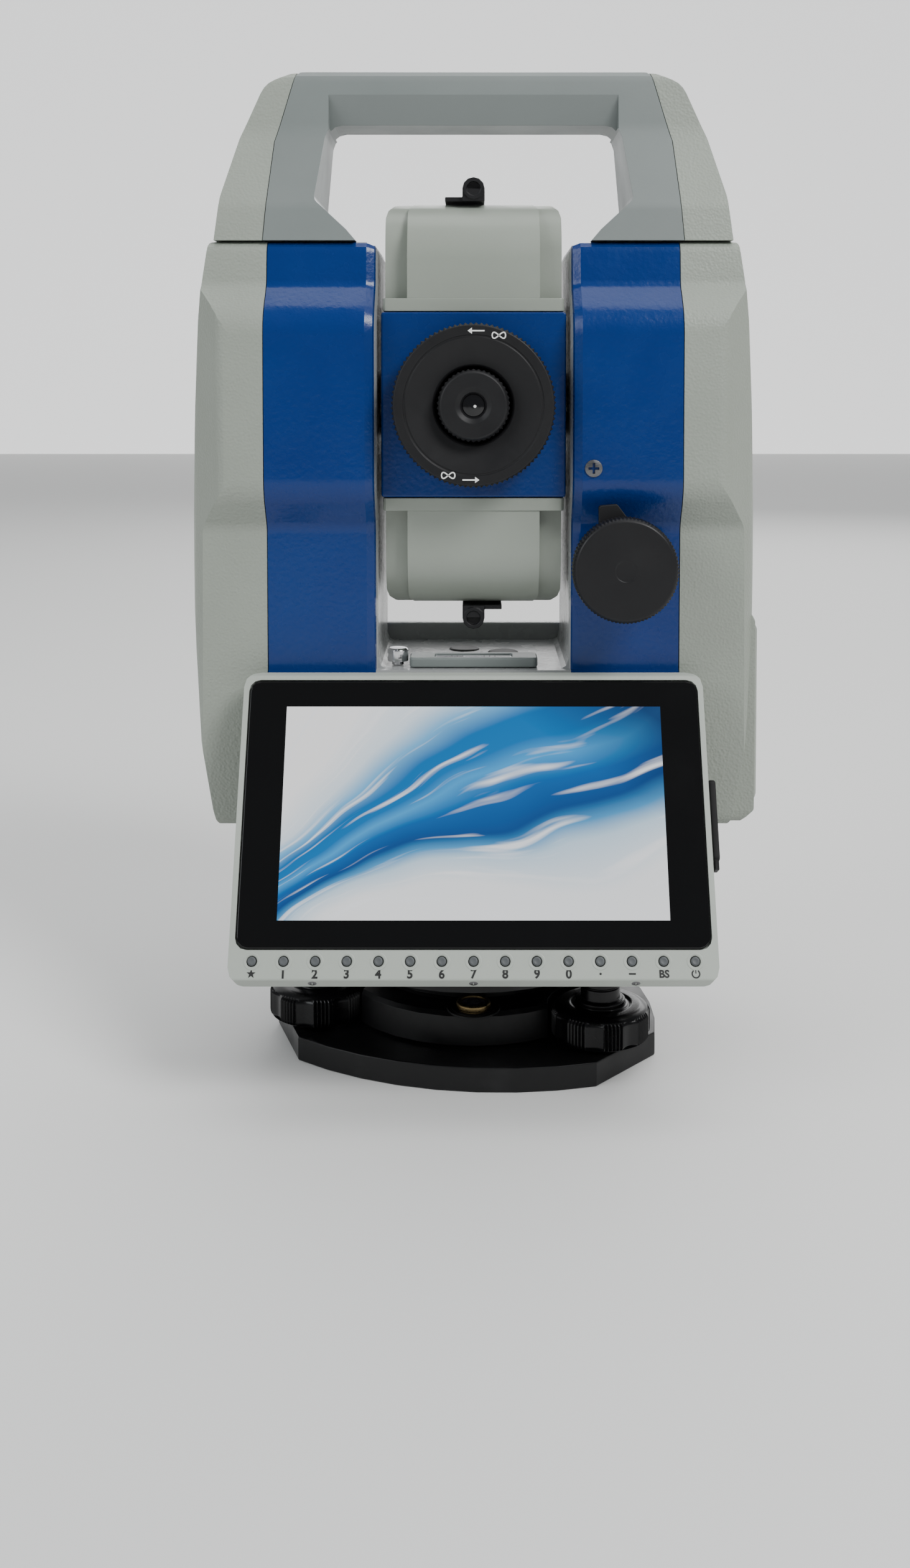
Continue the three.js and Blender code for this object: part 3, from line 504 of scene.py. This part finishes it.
softened("base_plate_look", "base_plate", 1.3, CASTING, "black_metal")
softened("tribrach_body_look", "tribrach_body", 1.4, CASTING, "black_metal", 2)
softened("lock_knob_look", "tribrach_lock_knob", 0.9, KNOB_BLACK, "black_plastic", 2)
softened("alidade_base_look", "alidade_base", 1.5, CASTING, "black_metal", 2)
softened("yoke_look", "yoke_frame", 1.6, YOKE, "blue_paint", 3, 24, yoke_widths)
softened("side_cover_left_look", "side_cover_left", 2.4, COVER, "cover_grey", 3, 20, cover_widths)
softened("side_cover_right_look", "side_cover_right", 2.4, COVER, "cover_grey", 3, 20, cover_widths)
softened("battery_look", "battery_pack", 1.6, COVER, "cover_grey", 3)
softened("battery_latch_look", "battery_latch", 0.5, KNOB_BLACK, "black_plastic", 2)
softened("handle_grip_look", "handle_grip", 4.2, HANDLE, "handle_grey", 4, 20, handle_widths)
softened("handle_cheek_left_look", "handle_cheek_left", 2.6, COVER, "cover_grey", 4, 20, handle_widths)
softened("handle_cheek_right_look", "handle_cheek_right", 2.6, COVER, "cover_grey", 4, 20, handle_widths)
softened("telescope_block_look", "telescope_body", 1.0, BLUE, "blue_paint", 3)
softened("telescope_cover_top_look", "telescope_cover_top", 1.8, CASING, "cover_grey", 3)
softened("telescope_cover_bottom_look", "telescope_cover_bottom", 1.8, CASING, "cover_grey", 3)
softened("sight_top_look", "sight_top", 0.35, KNOB_BLACK, "black_plastic", 2)
softened("sight_bottom_look", "sight_bottom", 0.35, KNOB_BLACK, "black_plastic", 2)
softened("display_bezel_look", "display_bezel", 1.2, BEZEL, "bezel_grey", 3)
softened("display_back_look", "display_back", 1.5, BLACK, "black_plastic", 2)
softened("display_glass_look", "display_glass", 0.5, GLASS, "display_glass", 2)
softened("port_cover_look", "port_cover", 0.6, RUBBER, "black_rubber", 2)
softened("vertical_clamp_look", "vertical_clamp_lever", 0.7, KNOB_BLACK, "black_plastic", 2)
softened("horizontal_clamp_look", "horizontal_clamp_lever", 0.7, KNOB_BLACK, "black_plastic", 2)
softened("plate_level_case", "plate_level", 0.8, HANDLE, "black_plastic", 2)

# frame solids that keep their own shape
PLAIN = {
    "axis_flange": CASTING, "axis_spindle": STEEL, "horizontal_circle": LENS, "bearing_left": STEEL,
    "bearing_right": STEEL, "trunnion_axle_left": STEEL, "trunnion_axle_right": STEEL,
    "vertical_circle": LENS, "focusing_lens": LENS, "lcd_panel": BLACK,
}
for node, material in PLAIN.items():
    slots = frame["nodes"][node].data.materials
    if len(slots):
        slots[0] = material
    else:
        slots.append(material)


# ---------------------------------------------------------------- knobs, rings and lenses

def foot_screw(index, angle):
    """Knob with ribbed and hollow grips (the rim share fades the ribs out at both ends), collar and stem."""
    rim = [(0, 3.3), (5, 3.3), (5, 10.2), (15.6, 10.2), (17.0, 10.7), (18.15, 11.8, 1), (18.15, 19.8, 1),
           (16.6, 21.6), (14.8, 22.5), (11.4, 22.6), (10.6, 22.0), (9.0, 22.1), (9.0, 24.0), (8.5, 24.4),
           (7.2, 24.4), (7.2, 28.6), (6.8, 28.8), (6.8, 29.2), (7.2, 29.4), (7.2, 43.5), (0, 43.5)]
    centre = (SCREW_CIRCLE * math.cos(angle), SCREW_CIRCLE * math.sin(angle), 0)
    turned(f"foot_screw_{index}_look", rim, centre, "up", f"foot_screw_{index}", FOOT_BLACK,
           "black_plastic", (f"foot_screw_{index}",), 480, 0.8, grip_flutes)


for index, angle in enumerate(FOOT_SCREWS, start=1):
    foot_screw(index, angle)

turned("circular_level_case",
       [(0, 22.3), (6.2, 22.3), (6.2, 24.5), (5.7, 25.0), (4.7, 25.0), (4.5, 24.3), (0, 24.3)],
       LEVEL_PLACE, "up", "tribrach", BRASS, "level_glass", ("circular_level",), 48, 0.3)
turned("circular_level_glass", [(0, 24.3), (4.4, 24.3), (4.4, 24.5), (3.0, 24.8), (0, 24.9)],
       LEVEL_PLACE, "up", "tribrach", LIQUID, "level_glass", (), 48, 0.3)
turned("circular_level_mark", [(1.9, 24.82), (2.2, 24.82), (2.2, 24.95), (1.9, 24.95), (1.9, 24.82)],
       LEVEL_PLACE, "up", "tribrach", BLACK_INK, "black_plastic", (), 48, 0.02)
for i, reach in enumerate((7.2, 8.9), start=1):
    turned(f"level_boss_{i}",
           [(reach, 21.9), (reach + 0.9, 21.9), (reach + 0.7, 22.7), (reach + 0.2, 22.7), (reach, 21.9)],
           LEVEL_PLACE, "up", "tribrach", BLACK, "black_metal", (), 64, 0.2)

turned("focus_ring_look",
       [(13.5, 38.3), (26, 38.3), (28.2, 41.4), (29.2, 42.6, 1), (29.2, 53.2, 1), (28.2, 54.5), (27.9, 54.6),
        (25.0, 54.6), (24.7, 54.2), (24.3, 54.2), (24.0, 54.5), (14.4, 52.4), (13.8, 51.8),
        (13.5, 46.6), (13.5, 38.3)],
       (0, 0, TRUNNION), "front", "focus", KNOB_BLACK, "black_plastic", ("focus_ring",),
       576, 0.25, ribs(96, 0.75))
turned("eyepiece_look",
       [(0, 20), (9, 20), (12.5, 30), (12.5, 46), (12.9, 48.5, 1), (12.9, 56.4, 1), (11.9, 57.8), (11.4, 58.2),
        (6.4, 58.2), (4.6, 57.2), (4.1, 55.6), (0, 55.5)],
       (0, 0, TRUNNION), "front", "eyepiece", KNOB_BLACK, "black_plastic", ("eyepiece_ring",),
       336, 0.3, ribs(42, 0.5))
turned("eyepiece_lens", [(0, 55.45), (4.0, 55.45), (4.0, 55.8), (2.6, 56.2), (1.2, 56.4), (0, 56.45)],
       (0, 0, TRUNNION), "front", "eyepiece", EYE_LENS, "optical_glass", (), 48, 0.2)
# painted light: a small white-ink disc on the eyepiece lens stands for the bright spot of the exit pupil
turned("painted_exit_pupil_light", [(0, 56.4), (0.55, 56.38), (0.5, 56.5), (0, 56.52)],
       (0.5, 0, TRUNNION - 0.3), "front", "eyepiece", WHITE_INK, "optical_glass", (), 16, 0.05)
turned("objective_barrel_look",
       [(21.3, -62), (25.5, -65), (25.5, -88.4), (27.6, -88.4), (28.4, -87.4), (28.4, -61),
        (30, -59.5), (30, -42), (28.5, -38.3), (24, -38.3), (24, -12), (21.3, -12), (21.3, -62)],
       (0, 0, TRUNNION), "front", "telescope", BARREL, "black_metal", ("objective_barrel",), 96, 0.4)
turned("objective_lens_look", [(0, -60.6), (8, -60.2), (15, -59.0), (21, -57), (21, -53), (0, -53)],
       (0, 0, TRUNNION), "front", "telescope", LENS, "optical_glass", ("objective_lens",), 96, 1.5)
turned("vertical_tangent_look",
       [(0, 30), (4.5, 30), (4.5, 51.5), (17.6, 51.5), (18.7, 52.6, 1), (18.7, 60.6, 1), (17.7, 61.7),
        (17.2, 62.0), (4.0, 62.0), (3.6, 61.8), (0, 61.8)],
       VERTICAL_TANGENT_PLACE, "front", "vertical_tangent", KNOB_BLACK, "black_plastic",
       ("vertical_tangent_knob",), 504, 0.4, ribs(84, 0.4))
turned("horizontal_tangent_look",
       [(0, 55), (3.6, 55), (3.6, 79), (10.8, 79), (12, 80.2, 1), (12, 87.0, 1), (11, 88.2),
        (10.6, 88.4), (0, 88.4)],
       HORIZONTAL_TANGENT_PLACE, "right", "horizontal_tangent", KNOB_BLACK, "black_plastic",
       ("horizontal_tangent_knob",), 288, 0.4, ribs(48, 0.5))


def capstan_holes(angle):
    """Four pin holes round the head, as narrow dips in the rim."""
    return 1.4 * (np.abs(((angle * 4 / TAU + 0.35) % 1.0) - 0.5) < 0.10)


turned("capstan_look",
       [(0, 143.8), (2.2, 143.8), (2.2, 145), (3.9, 145.2), (3.9, 146.4), (3.9, 146.6, 1), (3.9, 147.9, 1),
        (3.9, 148.1), (3.9, 149.4), (3.2, 150.1), (0, 150.1)],
       CAPSTAN_PLACE, "up", "level_capstan", CHROME, "chrome", ("capstan_screw",), 160, 0.2, capstan_holes)

# plate level: a liquid-filled tube under the case's window, and its ruled lines
vial = np.linspace(0, TAU, 32, endpoint=False)
vial_ends = np.array([-14.2, -13.8, 13.8, 14.2])[:, None]
vial_radii = np.array([2.3, 2.7, 2.7, 2.3])[:, None]
tube = np.stack([vial_ends + 0 * vial, VIAL_Y + vial_radii * np.cos(vial),
                 VIAL_Z + vial_radii * 0.62 * np.sin(vial)], -1)
piece("level_vial", *ring_stack(tube), "alidade", LIQUID, "level_glass")
RULES = np.array([-8.0, -6.0, -4.0, 4.0, 6.0, 8.0])
for i, x in enumerate(RULES):
    rule = np.stack([x + np.array([-0.12, 0.12])[:, None] + 0 * vial,
                     VIAL_Y + 2.73 * np.cos(vial)[None, :] + np.zeros((2, 1)),
                     VIAL_Z + 1.70 * np.sin(vial)[None, :] + np.zeros((2, 1))], -1)
    piece(f"level_rule_{i + 1}", *ring_stack(rule), "alidade", BLACK_INK, "black_plastic", smooth=False)

for i, (x, y) in enumerate([(-3.6, 10.7), (11.5, 3.0), (-3.6, -6.0)], start=1):
    turned(f"floor_plug_{i}", [(0, 142.8), (5.9, 142.8), (5.9, 143.8), (5.2, 144.1), (0, 144.1)],
           (x, y, 0), "up", "alidade", PLUG, "black_rubber", (), 48, 0.3)

# trunnion ends, which show in the gap between block and fork
for side, name in ((-1, "left"), (1, "right")):
    hub = [(0, 33.9), (12.2, 33.9), (12.2, 34.7), (0, 34.7)]
    centre = (0, 0, TRUNNION)
    turned(f"trunnion_hub_{name}", [(r, side * h) for r, h in hub], centre, "right", "telescope", BLACK,
           "black_plastic", (), 64, 0.1)

# keys: rubber domes with a dished top, standing in shallow dimples of the bezel
PANEL_FRAME = np.stack([PANEL_RIGHT, PANEL_UP, PANEL_OUT])
AXES["panel"] = PANEL_FRAME
for i, x in enumerate(KEY_PLACES, start=1):
    centre = on_panel([x, KEY_ROW, 0])[0]
    dome = [(0, -4.5), (1.5, -4.5), (1.5, 0.45), (1.1, 0.8), (0.6, 0.68), (0, 0.64)]
    turned(f"key_{i:02d}_look", dome, centre, "panel", f"key_{i:02d}", KEY, "key_grey",
           (f"key_{i:02d}",), 40, 0.25)
    rim = [(1.75, -0.2), (2.9, -0.2), (2.9, 0.05), (2.6, 0.16), (2.0, 0.10), (1.75, -0.05), (1.75, -0.2)]
    turned(f"key_rim_{i:02d}", rim, centre, "panel", "alidade", BEZEL, "bezel_grey", (), 48, 0.1)


def screw(name, centre, way, body, radius=3.1):
    """A cross-recessed screw: its head sinks by the arms of a plus sign, blended over the middle."""
    rows = np.linspace(0, 1, 25)[:, None]
    angle = np.arange(96) / 96 * TAU
    r = radius * rows
    x, y = r * np.cos(angle), r * np.sin(angle)
    arm = np.minimum(np.abs(x), np.abs(y)) < 0.13 * radius
    deep = (arm & (np.hypot(x, y) < 0.62 * radius)) * 0.5 * radius
    top = 0.16 * radius * (1 - rows ** 2) - deep
    skirt = np.stack([radius * np.cos(angle), radius * np.sin(angle), np.full(96, -0.5)], -1)[None]
    local = np.concatenate([np.stack([x, y, top], -1), skirt])
    points = local @ AXES[way] + np.array(centre, float)
    piece(name, points.reshape(-1, 3), grid_quads(26, 96, True).tolist(), body, SCREW_METAL, "steel")


screw("column_screw", COLUMN_SCREW_PLACE, "front", "alidade")

CHAMFER_MIDDLE = np.array([0.0, -90.3, 47.95])
CHAMFER_OUT = np.array([0.0, -0.717, -0.697])
AXES["chamfer"] = np.stack([PANEL_RIGHT, np.cross(CHAMFER_OUT, PANEL_RIGHT), CHAMFER_OUT])
for i, x in enumerate((-53.9, 0.0, 54.3), start=1):
    screw(f"bezel_screw_{i}", CHAMFER_MIDDLE + [x, 0, 0], "chamfer", "alidade", 1.5)


# ---------------------------------------------------------------- print

def slab(shape, low, high):
    """A flat shape given as a ring of (x, y) corners, with a thickness."""
    shape = np.asarray(shape, float)
    rings = np.stack([np.column_stack([shape, np.full(len(shape), h)]) for h in (low, high)])
    return ring_stack(rings)


def band(path, width, low, high, closed):
    """A strip of even width along a path: its edges stand off the path by half the width, square to it."""
    path = np.asarray(path, float)
    if closed:
        path = np.concatenate([path, path[:1]])
    step = np.gradient(path, axis=0)
    if closed:
        step[0] = step[-1] = path[1] - path[-2]
    off = np.stack([-step[:, 1], step[:, 0]], 1) / np.linalg.norm(step, axis=1)[:, None] * width / 2
    left, right = path - off, path + off
    section = [np.column_stack([edge, np.full(len(path), h)]) for edge, h in
               ((left, low), (right, low), (right, high), (left, high))]
    return ring_stack(np.stack(section, 1), cap=not closed)


def letters(text, size, low, high):
    """Text turned into a solid, its middle at the origin."""
    curve = bpy.data.curves.new("letters", "FONT")
    curve.body, curve.size = text, size
    curve.align_x, curve.align_y = "CENTER", "CENTER"
    curve.extrude, curve.resolution_u, curve.offset = (high - low) / 2, 4, 0.035 * size
    holder = bpy.data.objects.new("letters", curve)
    bpy.context.scene.collection.objects.link(holder)
    mesh = bpy.data.meshes.new_from_object(holder.evaluated_get(bpy.context.evaluated_depsgraph_get()))
    points = np.empty(len(mesh.vertices) * 3, np.float32)
    mesh.vertices.foreach_get("co", points)
    points = points.reshape(-1, 3).astype(float)
    points[:, 1] -= (points[:, 1].min() + points[:, 1].max()) / 2
    points[:, 2] += (low + high) / 2
    faces = [tuple(p.vertices) for p in mesh.polygons]
    bpy.data.objects.remove(holder)
    bpy.data.meshes.remove(mesh)
    bpy.data.curves.remove(curve)
    return points, faces


def printed(name, shapes, way, centre, body, material, slot):
    """Several flat solids, each moved by its own (x, y), made one piece on a plane."""
    points, faces, count = [], [], 0
    for (x, y), (p, f) in shapes:
        points.append(p + [x, y, 0])
        faces.extend([tuple(i + count for i in face) for face in f])
        count += len(p)
    world = np.concatenate(points) @ AXES[way] + np.array(centre, float)
    piece(name, world, faces, body, material, slot, smooth=False)


star_angle = np.arange(10) / 10 * TAU + math.pi / 2
star_reach = 1.6 * np.where(np.arange(10) % 2, 0.40, 1.0)[:, None]
star = star_reach * np.stack([np.cos(star_angle), np.sin(star_angle)], 1)
power_angle = np.radians(np.linspace(125, 415, 30))
power = 1.25 * np.stack([np.cos(power_angle), np.sin(power_angle)], 1)
LEGEND_ROW, INK = -50.1, (0.01, 0.07)
legend = [((KEY_PLACES[0], LEGEND_ROW), slab(star, *INK))]
for x, text in zip(KEY_PLACES[1:14], list("1234567890.") + ["–", "BS"]):
    legend.append(((x, LEGEND_ROW), letters(text, 4.0 if len(text) == 1 else 3.4, *INK)))
legend.append(((KEY_PLACES[14], LEGEND_ROW), band(power, 0.46, *INK, False)))
power_bar = [(-0.17, -0.7), (0.17, -0.7), (0.17, 0.7), (-0.17, 0.7)]
legend.append(((KEY_PLACES[14], LEGEND_ROW + 0.8), slab(power_bar, *INK)))
printed("key_legends", legend, "panel", PANEL_CENTRE, "alidade", BLACK_INK, "black_plastic")

loop = np.linspace(0, TAU, 60, endpoint=False)
infinity = np.stack([2.35 * np.sin(loop), 2.1 * np.sin(loop) * np.cos(loop)], 1)
arrow = np.array([(-3.5, 0), (-1.7, 1.3), (-1.7, 0.3), (3.5, 0.3), (3.5, -0.3), (-1.7, -0.3), (-1.7, -1.3)])
FACE = (54.61, 54.66)
printed("focus_marks", [
    ((0.9, 26.2), slab(arrow * 0.85, *FACE)), ((8.9, 24.6), band(infinity, 0.45, *FACE, True)),
    ((-8.9, -24.6), band(infinity, 0.45, *FACE, True)), ((-0.9, -26.2), slab(arrow * [-0.85, 0.85], *FACE)),
], "front", (0, 0, TRUNNION), "focus", WHITE_INK, "black_plastic")

# the lit picture, a thin pane on the cover glass, with a map that runs from 0 to 1 across it
pane = np.array([(-66.5, -32.85), (66.5, -32.85), (66.5, 40.85), (-66.5, 40.85)])
pane_points, pane_faces = slab(pane, 0.01, 0.05)
screen = piece("screen_look", on_panel(pane_points), pane_faces, "alidade", PICTURE, "screen", smooth=False)
layer = screen.data.uv_layers.new(name="screen")
corner = np.empty(len(screen.data.loops), np.int32)
screen.data.loops.foreach_get("vertex_index", corner)
spot = np.empty(len(screen.data.vertices) * 3, np.float32)
screen.data.vertices.foreach_get("co", spot)
flat = (spot.reshape(-1, 3) / MM - PANEL_CENTRE) @ PANEL_FRAME.T
uv = (flat[:, :2] - pane[0]) / (pane[2] - pane[0])
layer.data.foreach_set("uv", uv[corner].astype(np.float32).ravel())


# ---------------------------------------------------------------- stage

floor = bpy.data.meshes.new("floor")
floor.from_pydata([(-6, -6, 0), (6, -6, 0), (6, 6, 0), (-6, 6, 0)], [], [(0, 1, 2, 3)])
floor.materials.append(Finish("pale_floor", (0.72, 0.72, 0.71), 0.7).material)
ground = bpy.data.objects.new("floor", floor)
bpy.context.scene.collection.objects.link(ground)

backdrop = bpy.data.meshes.new("backdrop")
backdrop.from_pydata([(-7, 5, -0.01), (7, 5, -0.01), (7, 5, 6), (-7, 5, 6)], [], [(0, 1, 2, 3)])
white = Finish("backdrop_white", (0.9, 0.9, 0.9), 0.8)
white.set("Emission Color", (1, 1, 1, 1))
white.set("Emission Strength", 0.9)
backdrop.materials.append(white.material)
wall = bpy.data.objects.new("backdrop", backdrop)
bpy.context.scene.collection.objects.link(wall)


def soft_light(name, place_at, aim, width, height, watts, colour=(1, 1, 1)):
    """A rectangular studio light at a place in metres, turned to face a point."""
    data = bpy.data.lights.new(name, "AREA")
    data.shape, data.size, data.size_y = "RECTANGLE", width, height
    data.energy, data.color = watts, colour
    lamp = bpy.data.objects.new(name, data)
    lamp.location = place_at
    lamp.rotation_euler = (Vector(aim) - Vector(place_at)).to_track_quat("-Z", "Y").to_euler()
    bpy.context.scene.collection.objects.link(lamp)


soft_light("key_light", (1.2, -1.3, 1.7), (0, 0, 0.2), 0.8, 0.8, 46)
soft_light("fill_light", (-1.7, -1.1, 1.2), (0, 0, 0.2), 1.2, 1.2, 22, (0.95, 0.98, 1.0))
soft_light("top_light", (0.1, 0.2, 2.1), (0, 0, 0.2), 1.8, 1.4, 20)
soft_light("rear_light", (0.6, 1.9, 1.2), (0, 0, 0.2), 1.6, 1.2, 16)

world = bpy.data.worlds.new("studio")
world.use_nodes = True
world.node_tree.nodes["Background"].inputs["Color"].default_value = (0.86, 0.89, 0.92, 1)
world.node_tree.nodes["Background"].inputs["Strength"].default_value = 0.28
bpy.context.scene.world = world

view = bpy.data.cameras.new("camera")
view.lens, view.sensor_width, view.sensor_fit = 36.41, 36, "AUTO"
view.shift_x, view.shift_y = -0.0118, -0.21
eye = bpy.data.objects.new("camera", view)
eye.location = (0, -0.6116, 0.2481)
eye.rotation_euler = (math.radians(90 - CAMERA_TILT), 0, 0)
bpy.context.scene.collection.objects.link(eye)
bpy.context.scene.camera = eye
